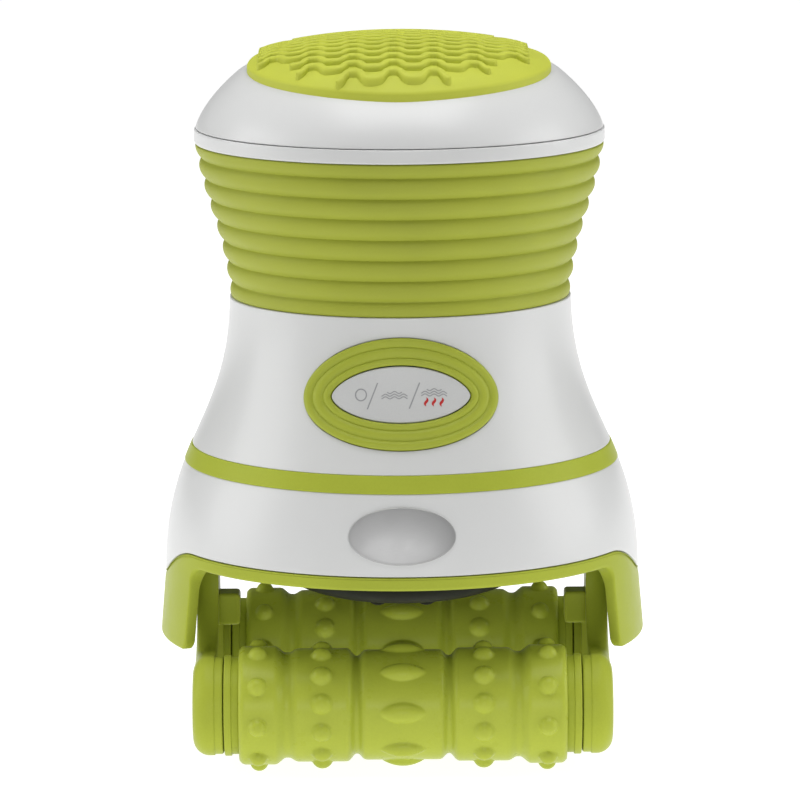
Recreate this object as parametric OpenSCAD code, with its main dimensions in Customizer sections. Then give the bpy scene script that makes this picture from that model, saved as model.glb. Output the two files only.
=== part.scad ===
// Foot massage roller: a palm-held vibrating body that stands on a pull-off head with two knobbed rollers.
// +Z is up, the front of the massager faces -Y, and both rollers turn about X.
// The origin is on the ground, on the body's centre line.

/* [Rollers] */
// Distance between the two roller axles
axle_gap = 72; // [70:0.5:76]
// Radius of the roller's two end segments
end_seg_r = 14.55; // [14.2:0.05:14.8]
// Radius of the segments next to the middle one
side_seg_r = 13.9; // [13.6:0.05:14.1]
// Radius of the middle segment
mid_seg_r = 13.5; // [13.2:0.05:13.8]
// Height of the round bumps on the end segments
end_bump_h = 1.9; // [1.4:0.1:2.1]
// Height of the round bumps on the side segments
side_bump_h = 1.7; // [1.3:0.1:1.9]
// Height of the oval bumps on the middle segment
oval_bump_h = 1.75; // [1.3:0.05:1.9]
// Radius of the steel axles
axle_r = 2.5; // [2:0.1:2.8]
// Radial clearance between an axle and its hubs
axle_clear = 0.05; // [0.02:0.01:0.1]

/* [Roller head] */
// Outer radius of the clip ring's band
ring_r = 59; // [58.8:0.05:59.2]
// Height of the clip ring's lower edge above the ground
ring_z0 = 49.3; // [48.8:0.1:49.6]
// Distance from the centre plane to a side plate's inner face
plate_x = 45.9; // [45.7:0.1:46.3]
// Thickness of a side plate
plate_t = 5.5; // [5:0.1:5.8]
// Radius of a side plate's lobes round the axles
lobe_r = 12.2; // [12:0.1:12.6]
// Half width of an ear, from its centre to its front or rear edge
ear_half_w = 28; // [26:0.5:28.5]
// Height of an ear's lower edge above the ground
ear_z0 = 28.4; // [28.2:0.1:30]

/* [Body] */
// Height of the joint between the head and the lower housing
skirt_z0 = 52.7; // [52.6:0.1:53]
// Height of the accent band's lower edge
band_z0 = 72.1; // [71.5:0.1:72.5]
// Height of the accent band's upper edge
band_z1 = 76.4; // [76:0.1:77]
// Height of the sleeve's lower edge
sleeve_z0 = 113.2; // [113:0.1:113.4]
// Height of the cap trim's lower edge
trim_z0 = 151.5; // [151.3:0.1:151.7]
// Height of the seam between the trim and the top cap
cap_z0 = 155; // [154.6:0.1:155.3]
// Wall thickness of the white shells
wall = 2.6; // [2.4:0.1:2.8]
// Thickness of the palm pad at its centre
pad_t = 2.2; // [2:0.1:2.6]
// Half width of the palm pad, left to right
pad_half_x = 37.4; // [37:0.1:38.5]
// Distance from the centre to the palm pad's front end
pad_front_y = 43.5; // [42.5:0.1:44]
// Distance from the centre to the palm pad's rear end
pad_rear_y = 36; // [34:0.5:38]

/* [Grip sleeve] */
// Number of ribs round the sleeve
rib_count = 8; // [6:1:9]
// Depth of the grooves between the ribs
rib_depth = 1.4; // [1:0.1:1.8]

/* [Switch] */
// Height of the switch's centre above the ground
switch_z = 95; // [94:0.5:96]
// Lean of the switch's face from upright, in degrees
switch_lean = 15.6; // [14:0.2:17]
// Half width of the soft bezel
bezel_half_w = 23.4; // [22:0.1:24]
// Half height of the soft bezel
bezel_half_h = 13.65; // [13:0.05:14]
// Width of the bezel between its outer edge and the button
bezel_w = 6.5; // [6:0.1:6.8]
// Travel of the button
button_travel = 0.8; // [0.5:0.1:1]

/* [Hidden] */
$fn = 96;

lime = "yellowgreen";
soft_lime = "darkkhaki";
shell_white = "whitesmoke";

// A solid that is larger than anything it trims
huge = 200;
// Overlap that keeps cuts and joins clean
eps = 0.01;

// Roller: bump spheres from their height and their radius at the roller's surface
end_bump_base = 2.25;
side_bump_base = 2.5;
oval_half_len = 6.5;
oval_half_w = 2.65;
function cap_sphere_r(h, base) = (h * h + base * base) / (2 * h);
end_bump_r = cap_sphere_r(end_bump_h, end_bump_base);
side_bump_r = cap_sphere_r(side_bump_h, side_bump_base);
end_row_x = 35.4;
side_row_x = 19.8;
end_bumps = 9;
side_bumps = 12;
oval_bumps = 8;
// Angle of one bump of each kind above the horizontal, seen from the left, with the roller as stored
end_phase = 30.5;
side_phase = 13.5;
oval_phase = 3.5;
// The rear roller's turn against the front one
rear_turn = 135.5;
roller_half_l = 40.1;
roller_bore_r = 9;
// Hub: a spigot in the roller's bore, a neck and a flange, by distance from the middle
hub_fit = 0.05;
hub_spigot_x = 34;
hub_flange_x = 41.9;
hub_x1 = 43.7;
hub_neck_r = 11.95;
hub_flange_r = 12.35;

// The front roller stands on the end bump that points almost straight down
lowest_bump_lean = 120 - end_phase - 90;
end_bump_centre_r = end_seg_r + end_bump_h - end_bump_r;
axle_z = end_bump_centre_r * cos(lowest_bump_lean) + end_bump_r;
axle_y = axle_gap / 2;

// Head: the ring's band, its inner flange and the collar that plugs into the skirt
ring_top = skirt_z0 - 0.2;
ring_inner_r = 54.6;
flange_z0 = 50.1;
flange_r = 44.2;
collar_r = 55.2;
collar_t = 2;
collar_z1 = 57.5;
// Side plates, with bosses round the axles and a peg on the inside
boss_x = 43.95;
boss_r = 11.9;
axle_end_x = 49;
axle_press = 0.02;
plate_bar_top = 27.6;
plate_neck_half = 6.5;
plate_fillet = 16;
peg_x0 = 40.7;
peg_half_y = 4;
peg_z = [29.8, 37.8];
head_screw_x = 48.6;
head_screw_r = 1.45;
head_screw_l = 13;
// Ears of the ring, and the housing's tongues that lie in front of them
ear_bottom_r = 60.6;
ear_t = 2.7;
tongue_bottom_z = 43.9;
tongue_half_w = 28.5;
tongue_steps = 12;
tongue_inner_r = 57.6;
tongue_gap = 0.2;

// Body shells: the flare from the skirt up to the sleeve, as one Bezier curve of [radius, height]
flare = [[59.25, 44], [59.25, 77.3], [42.95, 81.4], [42.45, 113.2]];
// Envelope of the sleeve's rib crests
grip = [[42.15, 113.2], [44.34, 132.27], [48.63, 136.44], [50.73, 151.5]];
// Side and crown of the top cap
cap_r = 50.9;
cap_side = [[cap_r, 153], [cap_r, 157.8], [45.5, 164.4], [39.9, 169]];
cap_crown = [[39.9, 169], [34.5, 173.4], [16, 176.3], [0, 176.3]];
// The cap's lip, which plugs into the trim
cap_lip_r = 44.3;
cap_lip_t = 2;
cap_lip_gap = 0.3;
cap_seam = 0.2;
// The pad is widest a little in front of the centre, and its ends there are slightly pointed
pad_widest_y = -6;
pad_roundness = 1.9;
// Outside of the heat dome, from its centre to its flange
dome = [[0, 36.7], [20.95, 36.7], [36.88, 40.3], [37.6, 56]];
dome_t = 1.8;
dome_inside = [for (q = dome) [max(q[0] - dome_t, 0), min(q[1] + dome_t, dome[3][1])]];

function bezier(p, t) = pow(1 - t, 3) * p[0] + 3 * pow(1 - t, 2) * t * p[1]
    + 3 * (1 - t) * t * t * p[2] + pow(t, 3) * p[3];
function curve(p, steps) = [for (i = [0:steps]) bezier(p, i / steps)];
function moved_out(points, d) = [for (q = points) [q[0] + d, q[1]]];
function reversed(points) = [for (i = [len(points) - 1:-1:0]) points[i]];
function arc(centre, r, a0, a1, steps) = [for (i = [0:steps]) let (a = a0 + (a1 - a0) * i / steps)
    [centre[0] + r * cos(a), centre[1] + r * sin(a)]];

// Sleeve: its first and last crests lie a little inside its edges
sleeve_t = 3.4;
sleeve_z1 = trim_z0 - 0.1;
first_crest = 1.2;
last_crest = 0.95;
rib_pitch = (sleeve_z1 - sleeve_z0 - first_crest - last_crest) / (rib_count - 1);
rib_steps = 10;
// Power that makes the crests round and the grooves sharp
rib_power = 0.6;
shelf_z0 = 110;
shelf_r = 41;
core_gap = 0.15;

// Switch: depths are measured along the line out of its face
bezel_proud = 1;
bezel_depth = 1.2;
recess_gap = 0.05;
button_gap = 0.25;
button_proud = 0.6;
button_wall = 1.4;
button_flange = 0.9;
button_flange_gap = 0.3;
stem_depth = 8;
plunger_l = 1;
plunger_r = 1.5;
switch_r = 45.2;
board_depth = 12.5;
board_t = 1.6;
board_post_x = 14;
board_post_y = 9.5;
board_post_r = 2.2;
outline_steps = 72;
// Badge
badge_z = 62.5;
badge_lean = 14;
badge_r = 57.2;
badge_half_w = 13;
badge_half_h = 7;
badge_proud = 0.5;
badge_depth = 0.3;

// Base, dome and heater; a place radius is a screw circle's
base_z0 = 58;
base_t = 2.5;
base_r = 54.6;
base_hole_r = 36.5;
base_post_place = 48.5;
base_post_r = 3.5;
base_post_hole_r = 1.25;
base_screw_hole_r = 1.5;
dome_flange_r = 43.3;
dome_flange_t = 2;
dome_screw_place = 40.5;
dome_screw_hole_r = 1.3;
dome_thread_r = 1.05;
heater_r = 37.4;
heater_t = 1.6;
nodule_ring_r = 12;
nodule_r = 3;
nodule_drop = 0.6;

// Motor, on a bracket that two rubber isolators carry
motor_r = 12;
motor_z0 = 72;
motor_l = 30;
motor_nose_r = 3.5;
motor_nose_l = 1.5;
motor_bore_l = 6;
shaft_r = 1;
shaft_clear = 0.05;
shaft_l = 16;
bracket_post_x = 42;
bracket_post_r = 4;
bracket_w = 16;
bracket_t = 2;
bracket_cup_t = 2.5;
bracket_cup_h = 14;
isolator_z0 = 66;
isolator_h = 4;
isolator_hole_r = 1.6;
weight_r = 9;
weight_h = 7.5;
weight_gap = 1;

// Batteries: four cylindrical cells, 14.5 mm across and 50.5 mm long
cell_r = 7.25;
cell_l = 50.5;
cell_offset = 7.8;
cell_z0 = 119;
holder_z0 = 114.5;
holder_z1 = 150.5;
holder_r = 21;
deck_r = 43.5;
deck_t = 2;
deck_ledge_r = 45;
spring_h = 1.5;

// ---- shared shapes ----

// A solid of revolution between the axis and an outline of [radius, height] points
module revolved(points) {
    rotate_extrude()
        polygon(concat([[0, points[0][1]]], points, [[0, points[len(points) - 1][1]]]));
}

// The flared body's solid, grown outwards by d
module flare_solid(d) {
    revolved(moved_out(curve(flare, 24), d));
}

// Everything between two heights
module slab(z0, z1) {
    translate([-huge / 2, -huge / 2, z0])
        cube([huge, huge, z1 - z0]);
}

module ring(r_out, r_in, z0, z1) {
    translate([0, 0, z0])
        difference() {
            cylinder(r = r_out, h = z1 - z0);
            translate([0, 0, -1])
                cylinder(r = r_in, h = z1 - z0 + 2);
        }
}

module pan_screw(shank_r, shank_l, head_r, head_h) {
    translate([0, 0, -shank_l])
        cylinder(r = shank_r, h = shank_l + eps, $fn = 24);
    difference() {
        cylinder(r = head_r, h = head_h, $fn = 32);
        translate([0, 0, head_h / 2])
            cylinder(r = shank_r, h = head_h, $fn = 6);
    }
}

// Lays a solid along X, at a roller's axle; side is -1 at the front and 1 at the rear
module at_axle(side) {
    translate([0, side * axle_y, axle_z])
        rotate([0, 90, 0])
            children();
}

// The local frame of the switch: +Z leaves the face, +Y runs up it
module at_switch() {
    translate([0, -switch_r, switch_z])
        rotate([90 - switch_lean, 0, 0])
            children();
}

// An ellipse moved inwards by d, along its normals
function oval_point(a, b, d, t) = let (n = norm([b * cos(t), a * sin(t)]))
    [a * cos(t) - d * b * cos(t) / n, b * sin(t) - d * a * sin(t) / n];
function oval(a, b, d) = [for (i = [0:outline_steps - 1]) oval_point(a, b, d, 360 * i / outline_steps)];

// A prism through the front wall with the outline of the switch, moved inwards by d
module switch_prism(d, z0 = -15, z1 = 12) {
    at_switch()
        translate([0, 0, z0])
            linear_extrude(z1 - z0)
                polygon(oval(bezel_half_w, bezel_half_h, d));
}

module badge_prism(d) {
    translate([0, -badge_r, badge_z])
        rotate([90 - badge_lean, 0, 0])
            translate([0, 0, -5])
                linear_extrude(12)
                    polygon(oval(badge_half_w, badge_half_h, d));
}

// Height of the lower edge of the housing's tongues, a smooth wave down from the skirt
function tongue_edge(y) = let (t = abs(y) / tongue_half_w)
    tongue_bottom_z + (skirt_z0 - tongue_bottom_z) * t * t * (3 - 2 * t);

// A cutter along X that bounds the tongues
module tongue_prism(gap) {
    edge = [for (i = [-tongue_steps:tongue_steps]) let (y = tongue_half_w * i / tongue_steps)
        [y, tongue_edge(y) - gap]];
    translate([-huge / 2, 0, 0])
        rotate([90, 0, 90])
            linear_extrude(huge)
                polygon(concat(edge, [[tongue_half_w, skirt_z0 + 2], [-tongue_half_w, skirt_z0 + 2]]));
}

// ---- top cap and palm pad ----

function cap_outline() = concat([[cap_r, trim_z0]], curve(cap_side, 10), curve(cap_crown, 12));

module cap_solid(d) {
    revolved([for (q = cap_outline()) [max(q[0] + (q[0] > 0 ? d : 0), 0), q[1] + (q[1] > cap_z0 ? d : 0)]]);
}

// The pad's outline: an egg with a front and a rear half of different lengths
function signed_power(v, e) = sign(v) * pow(abs(v), e);
function pad_reach(a) = sin(a) < 0 ? pad_front_y + pad_widest_y : pad_rear_y - pad_widest_y;
function pad_outline() = [for (i = [0:outline_steps - 1]) let (a = 360 * i / outline_steps)
    [pad_half_x * signed_power(cos(a), 2 / pad_roundness),
        pad_widest_y + pad_reach(a) * signed_power(sin(a), 2 / pad_roundness)]];

module palm_pad() {
    color(soft_lime)
        difference() {
            intersection() {
                cap_solid(pad_t);
                translate([0, 0, cap_z0])
                    linear_extrude(huge)
                        polygon(pad_outline());
            }
            cap_solid(0);
        }
}

// The cap's shell, a web and lip that seat in the trim, and a boss that carries the contacts
module top_cap() {
    shell_z0 = cap_z0 + cap_seam;
    web_z1 = shell_z0 + 2;
    web_r = cap_r - 0.9;
    lip_z0 = trim_z0 + 0.5;
    boss_z0 = cell_z0 + cell_l + 3.1;
    color(shell_white)
        union() {
            difference() {
                cap_solid(0);
                slab(trim_z0 - 1, shell_z0);
                cap_solid(-wall);
            }
            ring(web_r, cap_lip_r - cap_lip_t, shell_z0, web_z1);
            ring(cap_lip_r, cap_lip_r - cap_lip_t, lip_z0, web_z1);
            translate([0, 0, boss_z0])
                cylinder(r = 6, h = 2);
        }
}

// Two strips that join the cells in pairs, on one carrier disc
module cap_contacts() {
    contact_gap = 0.2;
    strip_w = 10;
    strip_t = 0.9;
    carrier_r = 14;
    carrier_t = 2;
    color("goldenrod")
        translate([0, 0, cell_z0 + cell_l + contact_gap])
            union() {
                translate([0, 0, strip_t - 0.1])
                    cylinder(r = carrier_r, h = carrier_t);
                for (x = [-1, 1])
                    translate([x * cell_offset - strip_w / 2, -cell_offset - strip_w / 2, 0])
                        cube([strip_w, 2 * cell_offset + strip_w, strip_t]);
            }
}

module cap_trim() {
    color(shell_white)
        difference() {
            cap_solid(0);
            slab(cap_z0, huge + 20);
            translate([0, 0, trim_z0 - 1])
                cylinder(r = cap_lip_r + cap_lip_gap, h = 20);
        }
}

// ---- grip ----

function grip_r(z) = lookup(z, [for (q = curve(grip, 24)) [q[1], q[0]]]);
function rib_phase(z) = 180 * (z - sleeve_z0 - first_crest) / rib_pitch;
function rib_r(z) = grip_r(z) - rib_depth * (1 - pow(abs(cos(rib_phase(z))), rib_power));
rib_samples = rib_count * rib_steps;

module grip_sleeve() {
    span = sleeve_z1 - sleeve_z0;
    heights = [for (i = [0:rib_samples]) sleeve_z0 + span * i / rib_samples];
    inner_heights = [for (i = [0:8]) sleeve_z1 - span * i / 8];
    color(soft_lime)
        rotate_extrude()
            polygon(concat([for (z = heights) [rib_r(z), z]],
                [for (z = inner_heights) [grip_r(z) - sleeve_t, z]]));
}

// The rigid tube under the sleeve, with a ledge that carries the battery holder's deck
module core_tube() {
    core_t = 2;
    core_z0 = shelf_z0 - 2;
    ledge_t = 2;
    ledge_z1 = holder_z1 - deck_t - 0.2;
    heights = [for (i = [0:8]) sleeve_z0 + (sleeve_z1 - sleeve_z0) * i / 8];
    outer = concat([[grip_r(sleeve_z0) - sleeve_t, core_z0]],
        [for (z = heights) [grip_r(z) - sleeve_t, z]]);
    color("dimgray")
        union() {
            rotate_extrude()
                polygon(concat(outer, reversed(moved_out(outer, -core_t))));
            ring(deck_ledge_r, deck_r - 1.5, ledge_z1 - ledge_t, ledge_z1);
        }
}

// ---- housings ----

// The four places of the control board's posts, in the switch's frame
module at_board_posts(depth) {
    at_switch()
        for (x = [-1, 1], y = [-1, 1])
            translate([x * board_post_x, y * board_post_y, -depth])
                children();
}

module upper_housing() {
    pilot_r = 0.9;
    pilot_l = 6;
    color(shell_white)
        difference() {
            union() {
                difference() {
                    flare_solid(0);
                    flare_solid(-wall);
                    slab(-1, band_z1);
                }
                difference() {
                    translate([0, 0, shelf_z0])
                        cylinder(r = shelf_r, h = sleeve_z0 - shelf_z0);
                    translate([0, 0, shelf_z0 - 1])
                        cylinder(r = grip_r(sleeve_z0) - sleeve_t + core_gap, h = 10);
                }
                intersection() {
                    at_board_posts(board_depth)
                        cylinder(r = board_post_r, h = board_depth, $fn = 32);
                    flare_solid(-wall / 2 - 0.3);
                }
            }
            difference() {
                switch_prism(-2 * recess_gap);
                flare_solid(-bezel_depth - recess_gap);
            }
            switch_prism(bezel_w);
            at_board_posts(board_depth + 0.5)
                cylinder(r = pilot_r, h = pilot_l, $fn = 24);
        }
}

module switch_bezel() {
    color(lime)
        difference() {
            intersection() {
                switch_prism(0, -12, 8);
                flare_solid(bezel_proud);
            }
            flare_solid(-bezel_depth);
            switch_prism(bezel_w);
        }
}

// The button: a face inside the bezel, a wider flange behind the wall and a stem
module mode_button() {
    stem_r = 2.5;
    stem_l = 5;
    color(shell_white)
        union() {
            difference() {
                intersection() {
                    switch_prism(bezel_w + button_gap, -12, 8);
                    flare_solid(button_proud);
                }
                flare_solid(-wall - button_wall);
            }
            difference() {
                intersection() {
                    switch_prism(bezel_w - button_flange, -12, 8);
                    flare_solid(-wall - button_flange_gap);
                }
                flare_solid(-wall - button_wall);
            }
            at_switch()
                translate([0, 0, -stem_depth])
                    cylinder(r = stem_r, h = stem_l, $fn = 48);
        }
}

module switch_plunger() {
    color("black")
        at_switch()
            translate([0, 0, -stem_depth - plunger_l])
                cylinder(r = plunger_r, h = plunger_l, $fn = 32);
}

// The tact switch's case, with a well that the plunger travels in
module tact_switch() {
    case_w = 6;
    case_h = 3.4;
    well_floor = stem_depth + plunger_l + button_travel + 0.3;
    color("silver")
        at_switch()
            difference() {
                translate([-case_w / 2, -case_w / 2, -board_depth])
                    cube([case_w, case_w, case_h]);
                translate([0, 0, -well_floor])
                    cylinder(r = plunger_r + 0.1, h = 2, $fn = 32);
            }
}

module control_board() {
    board_w = 40;
    board_h = 26;
    chip_h = 1.9;
    coil_h = 2.9;
    screw_hole_r = 1.2;
    color("darkgreen")
        at_switch()
            difference() {
                union() {
                    translate([-board_w / 2, -board_h / 2, -board_depth - board_t])
                        cube([board_w, board_h, board_t]);
                    translate([-6, -9, -board_depth - board_t - chip_h])
                        cube([9, 9, chip_h + 0.1]);
                    translate([8, -2, -board_depth - board_t - coil_h])
                        cube([5, 8, coil_h + 0.1]);
                }
                for (x = [-1, 1], y = [-1, 1])
                    translate([x * board_post_x, y * board_post_y, -board_depth - board_t - 1])
                        cylinder(r = screw_hole_r, h = 4, $fn = 24);
            }
}

module board_screws() {
    color("silver")
        at_board_posts(board_depth + board_t)
            rotate([180, 0, 0])
                pan_screw(0.85, 6, 2, 1.2);
}

module accent_band() {
    band_t = 3.2;
    color(lime)
        difference() {
            intersection() {
                flare_solid(0.15);
                slab(band_z0 + 0.02, band_z1 - 0.02);
            }
            flare_solid(-band_t);
        }
}

module lower_housing() {
    color(shell_white)
        difference() {
            union() {
                difference() {
                    flare_solid(0);
                    flare_solid(-wall);
                    slab(-1, skirt_z0);
                    slab(band_z0, huge);
                }
                difference() {
                    intersection() {
                        flare_solid(0);
                        tongue_prism(0);
                        slab(tongue_bottom_z - 1, skirt_z0 + 1);
                    }
                    translate([0, 0, 30])
                        cylinder(r = tongue_inner_r, h = 30);
                }
                for (a = [45:90:315])
                    rotate([0, 0, a])
                        translate([base_post_place, 0, base_z0 + base_t])
                            cylinder(r = base_post_r, h = band_z0 - base_z0 - base_t, $fn = 48);
            }
            for (a = [45:90:315])
                rotate([0, 0, a])
                    translate([base_post_place, 0, base_z0])
                        cylinder(r = base_post_hole_r, h = 12, $fn = 24);
            difference() {
                badge_prism(-recess_gap);
                flare_solid(-badge_depth - recess_gap);
            }
        }
}

module badge_plate() {
    color("silver")
        difference() {
            intersection() {
                badge_prism(0);
                flare_solid(badge_proud);
            }
            flare_solid(-badge_depth);
        }
}

// ---- base, dome and heater ----

module base_plate() {
    color(shell_white)
        difference() {
            union() {
                ring(base_r, base_hole_r, base_z0, base_z0 + base_t);
                for (x = [-1, 1])
                    translate([x * bracket_post_x, 0, base_z0 + base_t - 1])
                        cylinder(r = bracket_post_r, h = isolator_z0 - base_z0 - base_t + 1, $fn = 48);
            }
            for (a = [45:90:315])
                rotate([0, 0, a]) {
                    translate([base_post_place, 0, base_z0 - 1])
                        cylinder(r = base_screw_hole_r, h = 6, $fn = 24);
                    translate([dome_screw_place, 0, base_z0 - 1])
                        cylinder(r = dome_thread_r, h = 6, $fn = 24);
                }
            for (x = [-1, 1])
                translate([x * bracket_post_x, 0, base_z0 + base_t])
                    cylinder(r = base_post_hole_r, h = 10, $fn = 24);
        }
}

module base_screws() {
    color("silver")
        for (a = [45:90:315])
            rotate([0, 0, a])
                translate([base_post_place, 0, base_z0])
                    rotate([180, 0, 0])
                        pan_screw(1.2, 11, 2.6, 1.6);
}

module heat_dome() {
    color("black", 0.9)
        difference() {
            union() {
                revolved(curve(dome, 16));
                translate([0, 0, base_z0 - dome_flange_t])
                    cylinder(r = dome_flange_r, h = dome_flange_t);
                for (a = [30:60:330])
                    rotate([0, 0, a])
                        translate([0, nodule_ring_r, dome[0][1] - nodule_drop + nodule_r])
                            sphere(r = nodule_r, $fn = 32);
            }
            revolved(concat(curve(dome_inside, 16), [[dome_inside[3][0], base_z0 + 1]]));
            for (a = [45:90:315])
                rotate([0, 0, a])
                    translate([dome_screw_place, 0, base_z0 - 4])
                        cylinder(r = dome_screw_hole_r, h = 6, $fn = 24);
        }
}

module dome_screws() {
    color("silver")
        for (a = [45:90:315])
            rotate([0, 0, a])
                translate([dome_screw_place, 0, base_z0 - dome_flange_t])
                    rotate([180, 0, 0])
                        pan_screw(1, 4.4, 2, 1.3);
}

module heater_board() {
    color("darkgreen")
        translate([0, 0, base_z0 + base_t])
            cylinder(r = heater_r, h = heater_t);
}

module infrared_lamps() {
    lamp_r = 3;
    lamp_l = 6;
    lamp_place = 18;
    color("firebrick")
        for (a = [0:60:300])
            rotate([0, 0, a])
                translate([lamp_place, 0, base_z0 + base_t - lamp_l])
                    union() {
                        cylinder(r = lamp_r, h = lamp_l, $fn = 32);
                        sphere(r = lamp_r, $fn = 32);
                    }
}

// ---- motor ----

module motor() {
    color("silver")
        difference() {
            union() {
                translate([0, 0, motor_z0])
                    cylinder(r = motor_r, h = motor_l);
                translate([0, 0, motor_z0 + motor_l])
                    cylinder(r = motor_nose_r, h = motor_nose_l);
            }
            translate([0, 0, motor_z0 + motor_l - motor_bore_l])
                cylinder(r = shaft_r + shaft_clear, h = 10, $fn = 32);
        }
}

module motor_bracket() {
    bracket_l = 2 * bracket_post_x + 10;
    color("gray")
        difference() {
            union() {
                translate([-bracket_l / 2, -bracket_w / 2, isolator_z0 + isolator_h])
                    cube([bracket_l, bracket_w, bracket_t]);
                translate([0, 0, isolator_z0 + isolator_h])
                    cylinder(r = motor_r + bracket_cup_t, h = bracket_cup_h);
            }
            translate([0, 0, motor_z0])
                cylinder(r = motor_r + 0.05, h = 20);
            for (x = [-1, 1])
                translate([x * bracket_post_x, 0, isolator_z0 + isolator_h - 1])
                    cylinder(r = isolator_hole_r, h = 5, $fn = 24);
        }
}

module motor_isolators() {
    color("black")
        for (x = [-1, 1])
            translate([x * bracket_post_x, 0, 0])
                ring(bracket_post_r, isolator_hole_r, isolator_z0, isolator_z0 + isolator_h);
}

module motor_screws() {
    color("silver")
        for (x = [-1, 1])
            translate([x * bracket_post_x, 0, isolator_z0 + isolator_h + bracket_t])
                pan_screw(1.2, 11, 3, 1.6);
}

module motor_shaft() {
    color("silver")
        translate([0, 0, motor_z0 + motor_l - motor_bore_l + 0.5])
            cylinder(r = shaft_r, h = shaft_l, $fn = 32);
}

module eccentric_weight() {
    color("darkgray")
        difference() {
            intersection() {
                translate([0, 0, motor_z0 + motor_l + motor_nose_l + weight_gap])
                    cylinder(r = weight_r, h = weight_h);
                translate([-10, -2.5, motor_z0])
                    cube([20, 20, 60]);
            }
            translate([0, 0, motor_z0 + motor_l])
                cylinder(r = shaft_r, h = 20, $fn = 32);
        }
}

// ---- batteries ----

module battery_holder() {
    color("dimgray")
        difference() {
            union() {
                translate([0, 0, holder_z0])
                    cylinder(r = holder_r, h = holder_z1 - holder_z0);
                translate([0, 0, holder_z1 - deck_t])
                    cylinder(r = deck_r, h = deck_t);
            }
            for (x = [-1, 1], y = [-1, 1])
                translate([x * cell_offset, y * cell_offset, cell_z0 - spring_h])
                    cylinder(r = cell_r + 0.2, h = 50);
        }
}

module battery_cell(x, y) {
    nub_h = 1.3;
    nub_r = 2.6;
    color("orangered")
        translate([x * cell_offset, y * cell_offset, cell_z0])
            union() {
                cylinder(r = cell_r, h = cell_l - nub_h);
                cylinder(r = nub_r, h = cell_l);
            }
}

module contact_springs() {
    color("goldenrod")
        for (x = [-1, 1], y = [-1, 1])
            translate([x * cell_offset, y * cell_offset, cell_z0 - spring_h])
                cylinder(r1 = 5, r2 = 3, h = spring_h, $fn = 48);
}

// ---- roller head ----

function ear_outline() = [[ring_r, ring_top], [flare[0][0], tongue_bottom_z],
    [ear_bottom_r, ear_z0], [ear_bottom_r - ear_t, ear_z0], [tongue_inner_r - 1, tongue_bottom_z],
    [ring_inner_r, ring_z0], [ring_inner_r, ring_top]];

module clip_ring() {
    color(lime)
        difference() {
            union() {
                ring(ring_r, ring_inner_r, ring_z0, ring_top);
                ring(ring_r - 1, flange_r, flange_z0, ring_top);
                ring(collar_r, collar_r - collar_t, flange_z0 + 1, collar_z1);
                intersection() {
                    rotate_extrude()
                        polygon(ear_outline());
                    translate([-huge / 2, -ear_half_w, 0])
                        cube([huge, 2 * ear_half_w, ring_top]);
                }
            }
            intersection() {
                tongue_prism(tongue_gap);
                ring(huge / 2, tongue_inner_r - tongue_gap, tongue_bottom_z - 1, ring_top + 1);
            }
            for (x = [-1, 1])
                translate([x * head_screw_x, 0, flange_z0 - 1])
                    cylinder(r = head_screw_r + 0.15, h = 6, $fn = 24);
        }
}

// A side plate's outline in the roller's plane, from the middle of its lower edge round the right half
function plate_half() = let (top = asin((plate_bar_top - axle_z) / lobe_r),
        fillet_y = plate_neck_half + plate_fillet)
    concat(arc([axle_y, axle_z], lobe_r, -90, 180 - top, 28),
        arc([fillet_y, plate_bar_top + plate_fillet], plate_fillet, -90, -180, 14),
        [[plate_neck_half, flange_z0]]);

module plate_outline() {
    half = plate_half();
    polygon(concat(half, [for (q = reversed(half)) [-q[0], q[1]]]));
}

module side_plate(side) {
    color(lime)
        scale([side, 1, 1])
            difference() {
                union() {
                    translate([plate_x, 0, 0])
                        rotate([90, 0, 90])
                            linear_extrude(plate_t)
                                plate_outline();
                    for (s = [-1, 1])
                        translate([boss_x, s * axle_y, axle_z])
                            rotate([0, 90, 0])
                                cylinder(r = boss_r, h = 3);
                    translate([peg_x0, -peg_half_y, peg_z[0]])
                        cube([plate_x - peg_x0 + 1, 2 * peg_half_y, peg_z[1] - peg_z[0]]);
                }
                for (s = [-1, 1])
                    translate([boss_x - 1, s * axle_y, axle_z])
                        rotate([0, 90, 0])
                            cylinder(r = axle_r + axle_press, h = axle_end_x - boss_x + 1.2);
                translate([head_screw_x, 0, ring_top - head_screw_l - 1.5])
                    cylinder(r = head_screw_r + 0.05, h = 20, $fn = 24);
            }
}

module head_screws() {
    color("silver")
        for (x = [-1, 1])
            translate([x * head_screw_x, 0, ring_top])
                pan_screw(head_screw_r, head_screw_l, 2.7, 1.8);
}

module axle(side) {
    color("silver")
        at_axle(side)
            translate([0, 0, -axle_end_x])
                cylinder(r = axle_r, h = 2 * axle_end_x);
}

// ---- rollers ----

// Outline of one half of the roller's outside: [distance from the middle, radius]
function half_outline() = [[0, mid_seg_r], [9.2, mid_seg_r], [9.8, mid_seg_r - 0.3],
    [10.8, mid_seg_r - 1.5], [11.8, mid_seg_r - 1.5], [12.8, side_seg_r - 0.5],
    [13.5, side_seg_r], [25.9, side_seg_r], [26.6, side_seg_r - 0.3], [27.6, side_seg_r - 1],
    [29, side_seg_r - 1], [30.1, end_seg_r - 0.7], [31, end_seg_r], [38.9, end_seg_r],
    [39.8, end_seg_r - 0.4], [roller_half_l, end_seg_r - 1.2]];

// A lemon-shaped solid along X, for the oval bumps
module oval_bump() {
    arc_r = (oval_half_len * oval_half_len + oval_half_w * oval_half_w) / (2 * oval_half_w);
    rotate([0, 90, 0])
        rotate_extrude($fn = 48)
            intersection() {
                translate([oval_half_w - arc_r, 0])
                    circle(r = arc_r, $fn = 180);
                translate([0, -oval_half_len])
                    square([oval_half_w, 2 * oval_half_len]);
            }
}

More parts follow.
